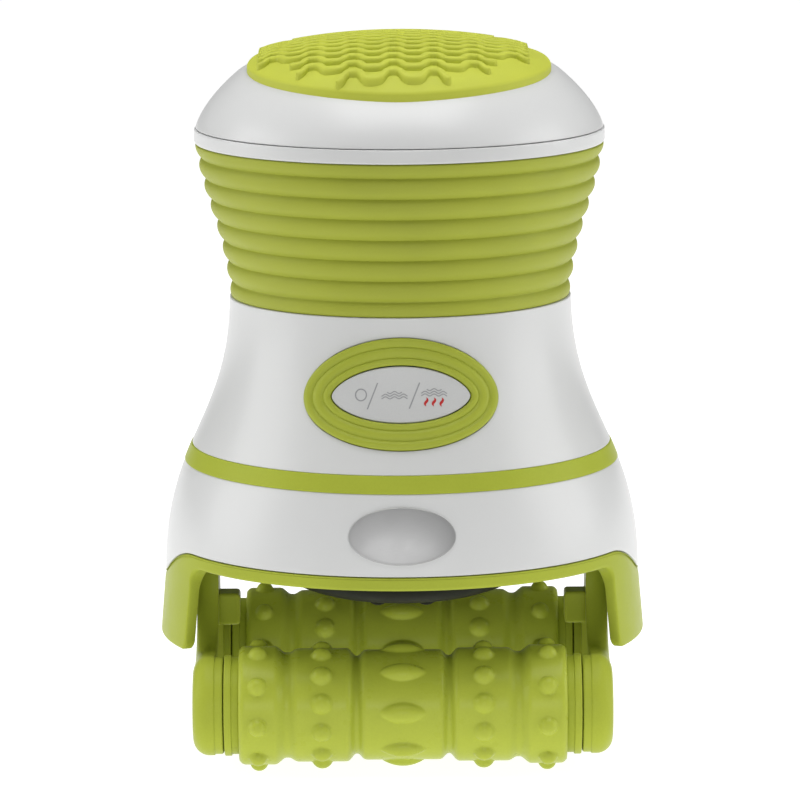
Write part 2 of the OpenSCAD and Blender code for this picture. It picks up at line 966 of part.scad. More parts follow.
module roller(side, turn) {
    half = half_outline();
    outside = concat([for (i = [len(half) - 1:-1:1]) [half[i][1], -half[i][0]]],
        [for (q = half) [q[1], q[0]]]);
    color(lime)
        translate([0, side * axle_y, axle_z])
            difference() {
                union() {
                    rotate([0, 90, 0])
                        revolved(outside);
                    for (i = [0:end_bumps - 1], x = [-1, 1])
                        rotate([-turn - end_phase - 360 * i / end_bumps, 0, 0])
                            translate([x * end_row_x, -end_bump_centre_r, 0])
                                sphere(r = end_bump_r, $fn = 32);
                    for (i = [0:side_bumps - 1], x = [-1, 1])
                        rotate([-turn - side_phase - 360 * i / side_bumps, 0, 0])
                            translate([x * side_row_x, side_bump_r - side_bump_h - side_seg_r, 0])
                                sphere(r = side_bump_r, $fn = 32);
                    for (i = [0:oval_bumps - 1])
                        rotate([-turn - oval_phase - 360 * i / oval_bumps, 0, 0])
                            translate([0, oval_half_w - oval_bump_h - mid_seg_r, 0])
                                oval_bump();
                }
                rotate([0, 90, 0])
                    translate([0, 0, -huge / 2])
                        cylinder(r = roller_bore_r, h = huge);
            }
}

// A hub carries one end of a roller; end is -1 on the left and 1 on the right
module hub(side, end) {
    color(lime)
        at_axle(side)
            scale([1, 1, end])
                difference() {
                    union() {
                        translate([0, 0, hub_spigot_x])
                            cylinder(r = roller_bore_r - hub_fit, h = roller_half_l - hub_spigot_x + 1);
                        translate([0, 0, roller_half_l])
                            cylinder(r = hub_neck_r, h = hub_flange_x - roller_half_l + eps);
                        translate([0, 0, hub_flange_x])
                            cylinder(r = hub_flange_r, h = hub_x1 - hub_flange_x);
                    }
                    translate([0, 0, hub_spigot_x - 1])
                        cylinder(r = axle_r + axle_clear, h = 20);
                }
}

palm_pad();
top_cap();
cap_contacts();
cap_trim();
grip_sleeve();
core_tube();
upper_housing();
switch_bezel();
mode_button();
switch_plunger();
tact_switch();
control_board();
board_screws();
accent_band();
lower_housing();
badge_plate();
base_plate();
base_screws();
heat_dome();
dome_screws();
heater_board();
infrared_lamps();
motor();
motor_bracket();
motor_isolators();
motor_screws();
motor_shaft();
eccentric_weight();
battery_holder();
battery_cell(-1, -1);  // battery_cell_front_left
battery_cell(1, -1);  // battery_cell_front_right
battery_cell(-1, 1);  // battery_cell_rear_left
battery_cell(1, 1);  // battery_cell_rear_right
contact_springs();
clip_ring();
side_plate(-1);  // left_side_plate
side_plate(1);  // right_side_plate
head_screws();
axle(-1);  // front_axle
axle(1);  // rear_axle
roller(-1, 0);  // front_roller
hub(-1, -1);  // front_left_hub
hub(-1, 1);  // front_right_hub
roller(1, rear_turn);  // rear_roller
hub(1, -1);  // rear_left_hub
hub(1, 1);  // rear_right_hub
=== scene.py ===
import math

import bmesh
import bpy
import numpy as np
from mathutils import Matrix, Vector


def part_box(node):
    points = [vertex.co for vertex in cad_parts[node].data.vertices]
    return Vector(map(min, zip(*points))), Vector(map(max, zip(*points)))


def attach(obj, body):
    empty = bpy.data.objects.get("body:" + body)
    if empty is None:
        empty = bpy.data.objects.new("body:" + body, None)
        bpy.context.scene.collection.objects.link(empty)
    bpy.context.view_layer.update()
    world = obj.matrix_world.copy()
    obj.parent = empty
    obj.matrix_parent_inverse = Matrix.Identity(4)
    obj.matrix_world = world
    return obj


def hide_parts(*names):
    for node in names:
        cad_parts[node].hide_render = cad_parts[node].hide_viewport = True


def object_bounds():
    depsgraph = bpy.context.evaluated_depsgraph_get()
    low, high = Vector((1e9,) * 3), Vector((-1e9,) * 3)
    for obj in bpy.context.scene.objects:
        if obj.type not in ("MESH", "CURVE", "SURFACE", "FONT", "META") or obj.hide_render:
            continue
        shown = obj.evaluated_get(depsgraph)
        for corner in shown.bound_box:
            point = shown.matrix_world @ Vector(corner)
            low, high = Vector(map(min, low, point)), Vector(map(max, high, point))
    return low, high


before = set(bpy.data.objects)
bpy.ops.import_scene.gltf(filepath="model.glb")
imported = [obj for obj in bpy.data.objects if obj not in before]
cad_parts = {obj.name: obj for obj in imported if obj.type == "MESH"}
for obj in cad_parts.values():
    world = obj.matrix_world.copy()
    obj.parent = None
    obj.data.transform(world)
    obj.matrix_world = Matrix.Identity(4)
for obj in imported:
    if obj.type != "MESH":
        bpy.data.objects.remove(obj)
cad_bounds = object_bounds()

# Every length below is in millimetres in the frame of the CAD model, unless its name says metres.
MM = 0.001
TAU = 2 * math.pi
X, Y, Z = 0, 1, 2
LOW, HIGH = 0, 1
BOX = {name: [np.array(corner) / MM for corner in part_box(name)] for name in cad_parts}


# ---- curves and outlines ----

def bezier(points, steps=200):
    """A cubic curve of [radius, height] points"""
    p = np.array(points, float)
    t = np.linspace(0, 1, steps + 1)[:, None]
    return (1 - t) ** 3 * p[0] + 3 * (1 - t) ** 2 * t * p[1] + 3 * (1 - t) * t * t * p[2] + t ** 3 * p[3]


def radius_at(curve, z):
    return np.interp(z, curve[:, 1], curve[:, 0])


def stretch_of(curve, z0, z1, steps, inset=0.0):
    """Outline points that follow a curve from one height to another, moved towards the axis"""
    return [(radius_at(curve, z) - inset, z, 0) for z in np.linspace(z0, z1, steps + 1)]


def rounded(corners, steps=5):
    """A closed outline from [a, b, corner radius] points"""
    out = []
    for k, (a, b, radius) in enumerate(corners):
        corner = np.array((a, b))
        if not radius:
            out.append(corner)
            continue
        before = np.array(corners[k - 1][:2]) - corner
        after = np.array(corners[(k + 1) % len(corners)][:2]) - corner
        reach = [np.linalg.norm(before), np.linalg.norm(after)]
        before, after = before / reach[0], after / reach[1]
        half = 0.5 * math.acos(np.clip(before @ after, -1, 1))
        cut = min(radius / math.tan(half), 0.49 * reach[0], 0.49 * reach[1])
        middle = before + after
        centre = corner + middle / np.linalg.norm(middle) * cut / math.cos(half)
        start, end = corner + before * cut - centre, corner + after * cut - centre
        turn = math.atan2(start[0] * end[1] - start[1] * end[0], start @ end)
        for s in np.linspace(0, turn, steps + 1):
            c, d = math.cos(s), math.sin(s)
            out.append(centre + np.array((start[0] * c - start[1] * d, start[0] * d + start[1] * c)))
    return np.array(out)


# ---- meshes: each maker returns (points, faces) ----

def grid(rows, cols, close_rows=False, close_cols=False):
    """The quads of points stored row by row"""
    i, j = np.meshgrid(np.arange(rows if close_rows else rows - 1),
                       np.arange(cols if close_cols else cols - 1), indexing="ij")
    i2, j2 = (i + 1) % rows, (j + 1) % cols
    quads = np.stack([i * cols + j, i * cols + j2, i2 * cols + j2, i2 * cols + j], -1)
    return quads.reshape(-1, 4).tolist()


def surface(points, close_rows=False, close_cols=True):
    """A mesh from a (rows, columns, 3) array"""
    rows, cols = points.shape[:2]
    return points.reshape(-1, 3), grid(rows, cols, close_rows, close_cols)


def lathe(outline, steps=256, closed=True, arc=(0.0, TAU)):
    """Turns an outline of [radius, height] about Z; an open one starts and ends on the axis"""
    whole = arc[1] - arc[0] > TAU - 1e-6
    angle = np.linspace(arc[0], arc[1], steps, endpoint=not whole)
    r, z = outline[:, :1], outline[:, 1:2]
    points = np.stack([r * np.cos(angle), r * np.sin(angle), z + 0 * angle], -1)
    mesh, faces = surface(points, close_rows=closed, close_cols=whole)
    if not whole:
        rows = np.arange(len(outline)) * steps
        faces += [rows.tolist(), (rows + steps - 1)[::-1].tolist()]
    return mesh, faces


def laid_on_axle(mesh, centre):
    """Lays a lathe's axis along X, through a centre"""
    points, faces = mesh
    return points[:, [2, 0, 1]] + centre, faces


def block(low, high, bevel, steps=4):
    """A box with rounded edges"""
    bm = bmesh.new()
    bmesh.ops.create_cube(bm, size=1)
    low, high = np.array(low), np.array(high)
    for v in bm.verts:
        v.co = Vector((low + high) / 2 + np.array(v.co) * (high - low))
    bmesh.ops.bevel(bm, geom=bm.edges[:], offset=bevel, segments=steps, profile=0.5, affect="EDGES")
    bm.verts.index_update()
    mesh = np.array([v.co for v in bm.verts]), [[v.index for v in f.verts] for f in bm.faces]
    bm.free()
    return mesh


def object_from(name, meshes):
    points = np.concatenate([m[0] for m in meshes])
    faces, first = [], 0
    for mesh in meshes:
        faces += [[i + first for i in f] for f in mesh[1]]
        first += len(mesh[0])
    data = bpy.data.meshes.new(name)
    data.from_pydata((points * MM).tolist(), [], faces)
    obj = bpy.data.objects.new(name, data)
    bpy.context.scene.collection.objects.link(obj)
    return obj


def shade(obj, crease=32):
    """Merges the seams, turns every face outwards and keeps edges sharper than the crease"""
    bm = bmesh.new()
    bm.from_mesh(obj.data)
    bmesh.ops.remove_doubles(bm, verts=bm.verts, dist=0.002 * MM)
    bmesh.ops.recalc_face_normals(bm, faces=bm.faces)
    limit = math.radians(crease)
    for edge in bm.edges:
        edge.smooth = len(edge.link_faces) == 2 and edge.calc_face_angle() < limit
    for face in bm.faces:
        face.smooth = True
    bm.to_mesh(obj.data)
    bm.free()


def finished(obj, body, slot, stands_for=(), crease=32, weighted=False):
    shade(obj, crease)
    if weighted:
        normals = obj.modifiers.new("normals", "WEIGHTED_NORMAL")
        normals.keep_sharp = True
    obj.data.materials.append(MATERIALS[slot])
    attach(obj, body)
    if stands_for:
        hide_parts(*stands_for)
    return obj


def piece(name, meshes, body, slot, stands_for=None, crease=32, weighted=False):
    stands_for = (name,) if stands_for is None else stands_for
    return finished(object_from(name + "_look", meshes), body, slot, stands_for, crease, weighted)


def cut(obj, *cutters):
    """Takes the cutters out of an object and removes them"""
    for cutter in cutters:
        change = obj.modifiers.new("cut", "BOOLEAN")
        change.object = cutter
        change.solver = "EXACT"
    evaluated = obj.evaluated_get(bpy.context.evaluated_depsgraph_get())
    data = bpy.data.meshes.new_from_object(evaluated)
    obj.modifiers.clear()
    obj.data = data
    for cutter in cutters:
        bpy.data.objects.remove(cutter)


# ---- materials ----

def linear(red, green, blue):
    """Screen values from 0 to 255 as linear colour"""
    return np.array([((c / 255 + 0.055) / 1.055) ** 2.4 for c in (red, green, blue)])


class Look:
    """Builds one material's nodes"""

    def __init__(self, name, material=None):
        self.material = material or bpy.data.materials.new(name)
        self.material.use_nodes = True
        self.nodes = self.material.node_tree.nodes
        self.links = self.material.node_tree.links
        self.shader = self.nodes["Principled BSDF"]
        self.place = self.nodes.new("ShaderNodeTexCoord").outputs["Object"]

    def link(self, source, target):
        self.links.new(source, target)

    def stretched(self, scale):
        node = self.nodes.new("ShaderNodeMapping")
        node.inputs["Scale"].default_value = scale
        self.link(self.place, node.inputs["Vector"])
        return node.outputs["Vector"]

    def noise(self, size_mm, detail=2.0, vector=None, roughness=0.5):
        node = self.nodes.new("ShaderNodeTexNoise")
        node.inputs["Scale"].default_value = 1 / (size_mm * MM)
        node.inputs["Detail"].default_value = detail
        node.inputs["Roughness"].default_value = roughness
        self.link(vector or self.place, node.inputs["Vector"])
        return node.outputs["Fac"]

    def ranged(self, value, from_low, from_high, to_low, to_high):
        node = self.nodes.new("ShaderNodeMapRange")
        self.link(value, node.inputs["Value"])
        for name, number in (("From Min", from_low), ("From Max", from_high),
                             ("To Min", to_low), ("To Max", to_high)):
            node.inputs[name].default_value = number
        return node.outputs["Result"]

    def mix(self, factor, first, second):
        node = self.nodes.new("ShaderNodeMix")
        node.data_type = "RGBA"
        self.link(factor, node.inputs[0])
        for socket, value in ((node.inputs[6], first), (node.inputs[7], second)):
            if isinstance(value, bpy.types.NodeSocket):
                self.link(value, socket)
            else:
                socket.default_value = (*np.clip(value, 0, 1), 1)
        return node.outputs[2]

    def multiply(self, first, second):
        node = self.nodes.new("ShaderNodeMath")
        node.operation = "MULTIPLY"
        for socket, value in zip(node.inputs, (first, second)):
            if isinstance(value, bpy.types.NodeSocket):
                self.link(value, socket)
            else:
                socket.default_value = value
        return node.outputs[0]

    def bump(self, height, depth_mm, under=None):
        node = self.nodes.new("ShaderNodeBump")
        node.inputs["Strength"].default_value = 1
        node.inputs["Distance"].default_value = depth_mm * MM
        self.link(height, node.inputs["Height"])
        if under:
            self.link(under, node.inputs["Normal"])
        return node.outputs["Normal"]

    def pointiness(self):
        return self.nodes.new("ShaderNodeNewGeometry").outputs["Pointiness"]


def finish_of(slot, colour, rough, grain=0.35, relief=0.01, vary=0.04, rough_vary=0.05, wear=0.06,
              speck=0.1, metal=0.0, coat=0.0, specular=0.5, brushed=None):
    """A moulded, rubber or metal surface: blotchy tone, fine grain, uneven gloss and paler worn edges"""
    look = Look(slot)
    colour = np.array(colour)
    flow = 22.0
    vector = look.stretched(brushed) if brushed else None
    blotch = look.noise(flow, 4.0)
    grain_noise = look.noise(grain, 3.0, vector)
    smudge = look.noise(flow / 4, 5.0, roughness=0.65)
    tone = look.mix(look.ranged(blotch, 0.3, 0.7, 0, 1), colour * (1 - vary), colour * (1 + vary))
    tone = look.mix(look.ranged(grain_noise, 0.35, 0.75, 0, speck), tone, colour * 0.55)
    edge = look.ranged(look.pointiness(), 0.58, 0.75, 0, wear)
    edge = look.multiply(edge, look.ranged(smudge, 0.35, 0.6, 0.3, 1))
    tone = look.mix(edge, tone, colour * 0.6 + 0.35)
    shader = look.shader
    look.link(tone, shader.inputs["Base Color"])
    gloss = look.ranged(smudge, 0.3, 0.7, rough - rough_vary, rough + rough_vary)
    look.link(gloss, shader.inputs["Roughness"])
    waviness = look.bump(blotch, 0.25 * relief * flow / grain / 40)
    look.link(look.bump(grain_noise, relief, waviness), shader.inputs["Normal"])
    shader.inputs["Metallic"].default_value = metal
    shader.inputs["Specular IOR Level"].default_value = specular
    shader.inputs["Coat Weight"].default_value = coat
    shader.inputs["Coat Roughness"].default_value = 0.12
    return look.material


def badge_metal():
    """Satin metal with painted shade: it darkens towards the right, standing in for a reflection that is
    brighter on the left
    """
    material = finish_of("badge_silver", (0.46, 0.46, 0.46), 0.34, grain=0.12, relief=0.004, metal=0.35,
                         brushed=(0.06, 1, 1), rough_vary=0.04, specular=0.3)
    look = Look("badge_painted_shade", material)
    along = look.nodes.new("ShaderNodeSeparateXYZ")
    look.link(look.place, along.inputs[0])
    half_w = BOX["badge_plate"][HIGH][X] * MM
    base = look.shader.inputs["Base Color"]
    tone = base.links[0].from_socket
    # Painted shade: the colour is mixed towards dark grey from left to right, standing in for the reflection
    # of an off-centre light falling away
    painted_shade_share = look.ranged(along.outputs["X"], -half_w, half_w, 0.0, 0.4)
    look.link(look.mix(painted_shade_share, tone, (0.2, 0.2, 0.2)), base)
    return material


def cell_jacket():
    """A printed shrink sleeve with a bare metal end"""
    look = Look("cell_jacket")
    heights = look.nodes.new("ShaderNodeSeparateXYZ")
    look.link(look.place, heights.inputs[0])
    shoulder = (BOX["battery_cell_front_left"][HIGH][Z] - 2.2) * MM
    stripe_z = shoulder - 12 * MM
    end = look.ranged(heights.outputs["Z"], shoulder, shoulder + 0.05 * MM, 0, 1)
    stripe = look.ranged(heights.outputs["Z"], stripe_z, stripe_z + 0.1 * MM, 0, 1)
    print_tone = look.mix(stripe, (0.02, 0.022, 0.025), (0.55, 0.3, 0.05))
    scuffs = look.noise(3.0, 5.0)
    print_tone = look.mix(look.ranged(scuffs, 0.55, 0.8, 0, 0.25), print_tone, (0.4, 0.4, 0.4))
    look.link(look.mix(end, print_tone, (0.62, 0.62, 0.6)), look.shader.inputs["Base Color"])
    look.link(end, look.shader.inputs["Metallic"])
    look.link(look.ranged(scuffs, 0.3, 0.7, 0.22, 0.4), look.shader.inputs["Roughness"])
    look.link(look.bump(scuffs, 0.02), look.shader.inputs["Normal"])
    return look.material


WHITE = np.array((0.66, 0.665, 0.66))
LIME = np.array((0.42, 0.48, 0.055))

MATERIALS = {
    "white_shell": finish_of("white_shell", WHITE, 0.3, grain=0.5, relief=0.0015, vary=0.008, wear=0.0,
                             speck=0.02, rough_vary=0.02),
    "button_white": finish_of("button_white", WHITE * 0.87, 0.42, grain=0.3, relief=0.004, vary=0.015),
    "soft_pad": finish_of("soft_pad", (0.51, 0.55, 0.06), 0.6, grain=0.22, relief=0.012, specular=0.25),
    "soft_grip": finish_of("soft_grip", (0.37, 0.41, 0.045), 0.55, grain=0.25, relief=0.012, specular=0.25),
    "bezel_green": finish_of("bezel_green", (0.37, 0.42, 0.04), 0.5, grain=0.25, relief=0.01, specular=0.3),
    "lime_gloss": finish_of("lime_gloss", LIME * 0.93, 0.34, grain=0.5, relief=0.003, specular=0.06),
    "roller_green": finish_of("roller_green", LIME, 0.3, grain=0.6, relief=0.003, specular=0.16),
    "badge_silver": badge_metal(),
    "smoked_dome": finish_of("smoked_dome", (0.022, 0.024, 0.016), 0.4, grain=0.8, relief=0.001,
                             specular=0.01, rough_vary=0.04),
    "axle_steel": finish_of("axle_steel", (0.55, 0.55, 0.56), 0.25, grain=0.1, metal=1.0, relief=0.003,
                            brushed=(1, 0.1, 0.1)),
    "screw_steel": finish_of("screw_steel", (0.6, 0.6, 0.6), 0.22, grain=0.4, metal=1.0, relief=0.004),
    "motor_steel": finish_of("motor_steel", (0.45, 0.45, 0.46), 0.38, grain=0.6, metal=1.0, relief=0.006),
    "contact_metal": finish_of("contact_metal", (0.7, 0.55, 0.25), 0.28, grain=0.4, metal=1.0, relief=0.004),
    "inner_plastic": finish_of("inner_plastic", (0.05, 0.05, 0.055), 0.5, grain=0.3, relief=0.02, wear=0.2),
    "circuit_board": finish_of("circuit_board", (0.02, 0.16, 0.06), 0.35, grain=1.2, relief=0.02, vary=0.15),
    "lamp_red": finish_of("lamp_red", (0.35, 0.01, 0.01), 0.15, grain=0.8, relief=0.004, coat=0.5),
    "isolator_rubber": finish_of("isolator_rubber", (0.02, 0.02, 0.02), 0.7, grain=0.3, relief=0.02),
    "cell_jacket": cell_jacket(),
    "mark_grey": finish_of("mark_grey", linear(150, 151, 153), 0.45, grain=0.3, relief=0.002),
    "mark_red": finish_of("mark_red", linear(185, 30, 28), 0.45, grain=0.3, relief=0.002),
}

# CAD nodes that keep their own mesh, by the finish they take
KEPT = {
    "inner_plastic": ["core_tube", "motor_bracket", "battery_holder", "tact_switch", "switch_plunger",
                      "base_plate"],
    "circuit_board": ["control_board", "heater_board"],
    "screw_steel": ["board_screws", "base_screws", "dome_screws", "motor_screws", "head_screws"],
    "contact_metal": ["cap_contacts", "contact_springs"],
    "motor_steel": ["motor", "eccentric_weight"],
    "axle_steel": ["front_axle", "rear_axle", "motor_shaft"],
    "lamp_red": ["infrared_lamps"],
    "isolator_rubber": ["motor_isolators"],
}


def dress_kept_nodes():
    for slot, names in KEPT.items():
        for name in names:
            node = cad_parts[name]
            node.data.materials.clear()
            node.data.materials.append(MATERIALS[slot])


# ---- the body's curves ----

skirt_r = BOX["lower_housing"][HIGH][X]
skirt_z0 = 52.7
tongue_z0 = BOX["lower_housing"][LOW][Z]
tongue_half_w = 28.5
tongue_gap = 0.2
tongue_inner_r = 57.6
band_z0, band_z1 = BOX["accent_band"][LOW][Z], BOX["accent_band"][HIGH][Z]
sleeve_z0, sleeve_z1 = BOX["grip_sleeve"][LOW][Z], BOX["grip_sleeve"][HIGH][Z]
trim_z0, trim_z1 = BOX["cap_trim"][LOW][Z], BOX["cap_trim"][HIGH][Z]
cap_r = BOX["cap_trim"][HIGH][X]
wall = 2.6
neck_r = 42.45

FLARE = bezier([(skirt_r, tongue_z0), (skirt_r, 77.3), (42.95, 81.4), (neck_r, sleeve_z0)], 400)
GRIP = bezier([(42.15, sleeve_z0), (44.34, 132.27), (48.63, 136.44), (50.73, 151.5)])
CAP = np.concatenate([[(cap_r, trim_z0)], bezier([(cap_r, 153), (cap_r, 157.8), (45.5, 164.4), (39.9, 169)]),
                      bezier([(39.9, 169), (34.5, 173.4), (16, 176.3), (0, 176.3)])[1:]])


def flare_r(z):
    return radius_at(FLARE, z)


def cap_z(r):
    """Height of the top cap's crown at a radius"""
    return np.interp(r, CAP[::-1, 0], CAP[::-1, 1])


# ---- palm pad, cap and trim ----

pad_widest_y = -9.0
pad_roundness = 1.9
pad_thick = 1.05


def pad_egg(inset, share=1.0):
    """The pad's outline, moved inwards and then shrunk to a share of its size"""
    low, high = BOX["palm_pad"]
    angle = np.linspace(0, TAU, 257)[:-1]
    x, y = np.cos(angle), np.sin(angle)
    grow = share * (np.abs(x) ** pad_roundness + np.abs(y) ** pad_roundness) ** (-1 / pad_roundness)
    front, rear = pad_widest_y - low[Y] - inset, high[Y] - pad_widest_y - inset
    return x * grow * (high[X] - inset), pad_widest_y + y * grow * np.where(y < 0, front, rear)


def on_crown(x, y, thick):
    """Points that stand a thickness above the top cap"""
    r = np.hypot(x, y)
    return np.stack([x, y, cap_z(np.maximum(r - thick, 0)) + thick], -1)


def palm_pad():
    edge_r, sunk = 0.5, -0.15
    rings = [on_crown(*pad_egg(edge_r, share), pad_thick) for share in np.linspace(0.02, 1, 60)]
    for a in np.linspace(0, TAU / 4, 6)[1:]:
        edge = on_crown(*pad_egg(edge_r * (1 - math.sin(a))), pad_thick)
        edge[:, 2] -= edge_r * (1 - math.cos(a))
        rings.append(edge)
    rings += [on_crown(*pad_egg(0, share), sunk) for share in np.linspace(1, 0.02, 12)]
    points, faces = surface(np.array(rings))
    steps = len(rings[0])
    last = len(points) - steps
    faces += [list(range(steps)), list(range(last, last + steps))[::-1]]
    pad = piece("palm_pad", [(points, faces)], "battery_cap", "soft_pad", crease=60)


def rib_line(y0):
    """The middle line of one wavy rib; the rows bow round the pad's ends"""
    period, crest_x, swing, edge_gap = 9.7, -1.4, 1.6, 3.6
    leg_share, squareness = 0.34, 1.9
    bow = np.clip(-y0 / 20, -1, 1) / 165
    low, high = BOX["palm_pad"]
    inner = high[X] - edge_gap
    end_y = y0 + bow * (0.6 * inner) ** 2 - pad_widest_y
    share = abs(end_y) / ((pad_widest_y - low[Y] if end_y < 0 else high[Y] - pad_widest_y) - edge_gap)
    reach = inner * max(1 - share ** pad_roundness, 0) ** (1 / pad_roundness)
    crests = max(math.floor((reach + 2.0) / period - leg_share), 0)
    end = (crests + leg_share) * period
    if crests > 1 and reach - end > 2:
        end = min(reach, (crests + 0.5) * period)
    x = np.linspace(-end, end, int(end * 7) + 2)
    phase = x * TAU / period
    wave = np.tanh(squareness * (np.cos(phase) - 0.12)) / math.tanh(squareness)
    return np.stack([x + crest_x, y0 + bow * x * x + swing * wave], -1)


def pad_rib(line):
    """A rounded bar that follows a line on the pad, with rounded ends"""
    half_w, height, corner, end_steps = 0.9, 1.0, 0.55, 6
    profile = [(-half_w, -0.3)]
    profile += [(-half_w + corner * (1 - math.cos(a)), height - corner * (1 - math.sin(a)))
                for a in np.linspace(0, TAU / 4, 6)]
    profile += [(-s, t) for s, t in profile[::-1]]
    run = np.gradient(line, axis=0)
    run /= np.linalg.norm(run, axis=1, keepdims=True)
    turn = np.linspace(0, TAU / 4 - 0.02, end_steps + 1)[1:, None]
    path = np.concatenate([(line[0] - run[0] * half_w * np.sin(turn))[::-1], line,
                           line[-1] + run[-1] * half_w * np.sin(turn)])
    run = np.concatenate([np.repeat(run[:1], end_steps, 0), run, np.repeat(run[-1:], end_steps, 0)])
    width = np.concatenate([np.cos(turn)[::-1], np.ones((len(line), 1)), np.cos(turn)])
    across = np.stack([-run[:, 1], run[:, 0]], -1) * width
    rows = []
    for s, t in profile:
        x, y = (path + across * s).T
        rows.append(on_crown(x, y, pad_thick + t))
    points, faces = surface(np.array(rows), close_rows=True, close_cols=False)
    firsts = np.arange(len(profile)) * len(path)
    return points, faces + [firsts.tolist(), (firsts + len(path) - 1)[::-1].tolist()]


def pad_ribs():
    row_gap, rows, front_row_y, shortest = 5.15, 16, -38.9, 7.0
    lines = [rib_line(front_row_y + k * row_gap) for k in range(rows)]
    ribs = [pad_rib(line) for line in lines if line[-1, 0] - line[0, 0] > shortest]
    piece("pad_ribs", ribs, "battery_cap", "soft_pad", stands_for=("palm_pad",), crease=50)


def top_cap():
    """A domed shell with a lip that plugs into the trim"""
    seam = trim_z1 + 0.2
    lip_inner_r, lip_outer_r, lip_z = cap_r - 9, cap_r - 6.8, seam - 3
    outer = [(r, z, 0) for r, z in CAP[CAP[:, 1] > seam + 0.6]]
    thin = outer[::6] + [outer[-1]]
    inner = [(max(r - wall, 0), z - wall, 0) for r, z, _ in reversed(thin)]
    lip = [(lip_inner_r, seam + 2, 0.2), (lip_inner_r, lip_z, 0.3), (lip_outer_r, lip_z, 0.3),
           (lip_outer_r, seam, 0.1)]
    edge = (radius_at(CAP[:60], seam), seam, 0.2)
    outline = rounded([inner[-1]] + lip + [edge] + thin + inner)
    # The open outline starts on the axis inside the cap and ends on the axis at its crown
    lip_start = next(k for k, q in enumerate(outline) if np.allclose(q, (lip_inner_r, seam + 2), atol=1))
    crown = int(np.argmax(outline[:, 1] * (outline[:, 0] < 1e-6)))
    order = np.concatenate([outline[crown + 1:], outline[lip_start - 1:crown + 1]])
    piece("top_cap", [lathe(order, 256, closed=False)], "battery_cap", "white_shell")


def cap_trim():
    inner_r = cap_r - 6.3
    side = [(cap_r, z, 0) for z in np.linspace(trim_z0 + 1.3, trim_z1 - 0.5, 4)]
    corners = [(inner_r, trim_z0, 0.3), (cap_r, trim_z0, 1.0)] + side
    corners += [(cap_r - 0.03, trim_z1, 0.2), (inner_r, trim_z1, 0.2)]
    piece("cap_trim", [lathe(rounded(corners), 256)], "massager", "white_shell")


# ---- grip sleeve ----

def grip_sleeve():
    first_crest, last_crest, ribs = 1.2, 0.95, 8
    depth, thick, end_r = 1.4, 3.4, 0.35
    pitch = (sleeve_z1 - sleeve_z0 - first_crest - last_crest) / (ribs - 1)
    heights = np.linspace(sleeve_z0, sleeve_z1, ribs * 26)
    phase = np.cos(TAU / 2 * (heights - sleeve_z0 - first_crest) / pitch)
    swell = (phase ** 2 + 0.004) ** 0.3
    outer = radius_at(GRIP, heights) - depth * (1 - swell)
    ease = np.minimum(heights - sleeve_z0, sleeve_z1 - heights) / end_r
    outer -= end_r * (1 - np.sqrt(1 - np.clip(1 - ease, 0, 1) ** 2))
    inner_z = np.linspace(sleeve_z1, sleeve_z0, 12)
    outline = np.concatenate([np.stack([outer, heights], -1),
                              np.stack([radius_at(GRIP, inner_z) - thick, inner_z], -1)])
    piece("grip_sleeve", [lathe(outline, 288)], "massager", "soft_grip", crease=60)


# ---- what lies on the flared front: switch and badge ----

def face(centre_r, z, lean):
    """A frame on the front of the body: its origin, the way up it and the way out of it"""
    a = math.radians(90 - lean)
    return (np.array((0, -centre_r, z)), np.array((0, math.cos(a), math.sin(a))),
            np.array((0, -math.sin(a), math.cos(a))))


SWITCH = face(45.2, 95.0, 15.6)
BADGE = face(57.2, 62.5, 14.0)
bezel_half = (23.4, 13.65)
bezel_w = 6.5
badge_half = (13.0, 7.0)


def on_body(where, x, y, rise):
    """Points that stand rise millimetres out of the body, where lines out of a face cross it"""
    origin, up, out = where
    x, y = np.broadcast_arrays(np.asarray(x, float), np.asarray(y, float))
    base = origin + x[..., None] * np.array((1.0, 0, 0)) + y[..., None] * up
    near, far = np.full(x.shape, -25.0), np.full(x.shape, 15.0)
    for _ in range(36):
        middle = (near + far) / 2
        p = base + middle[..., None] * out
        outside = np.hypot(p[..., 0], p[..., 1]) > flare_r(p[..., 2])
        far = np.where(outside, middle, far)
        near = np.where(outside, near, middle)
    p = base + near[..., None] * out
    slope = flare_r(p[..., 2] + 0.5) - flare_r(p[..., 2] - 0.5)
    normal = np.stack([p[..., 0], p[..., 1], -slope * np.hypot(p[..., 0], p[..., 1])], -1)
    normal /= np.linalg.norm(normal, axis=-1, keepdims=True)
    return p + normal * np.asarray(rise, float)[..., None]


def oval(half, inset, steps=160):
    """An ellipse moved inwards along its normals"""
    t = np.arange(steps) * TAU / steps
    a, b = half
    n = np.hypot(b * np.cos(t), a * np.sin(t))
    return (a - inset * b / n) * np.cos(t), (b - inset * a / n) * np.sin(t)


def swept(where, half, profile, closed=True):
    """Sweeps an [inset, rise] profile round an oval; an open profile is closed at its two middles"""
    rings = []
    if not closed:
        x, y = oval(half, profile[0][0])
        rings += [on_body(where, x * s, y * s, profile[0][1]) for s in np.linspace(0, 1, 5)[:-1]]
    rings += [on_body(where, *oval(half, inset), rise) for inset, rise in profile]
    if not closed:
        x, y = oval(half, profile[-1][0])
        rings += [on_body(where, x * s, y * s, profile[-1][1]) for s in np.linspace(1, 0, 17)[1:]]
    return surface(np.array(rings), close_rows=closed)


def edge_arc(inset, rise, radius, steps=5):
    """The rounded upper edge of a plug: from its side wall up to its face"""
    return [(inset + radius * (1 - math.cos(a)), rise - radius * (1 - math.sin(a)))
            for a in np.linspace(0, TAU / 4, steps + 1)]


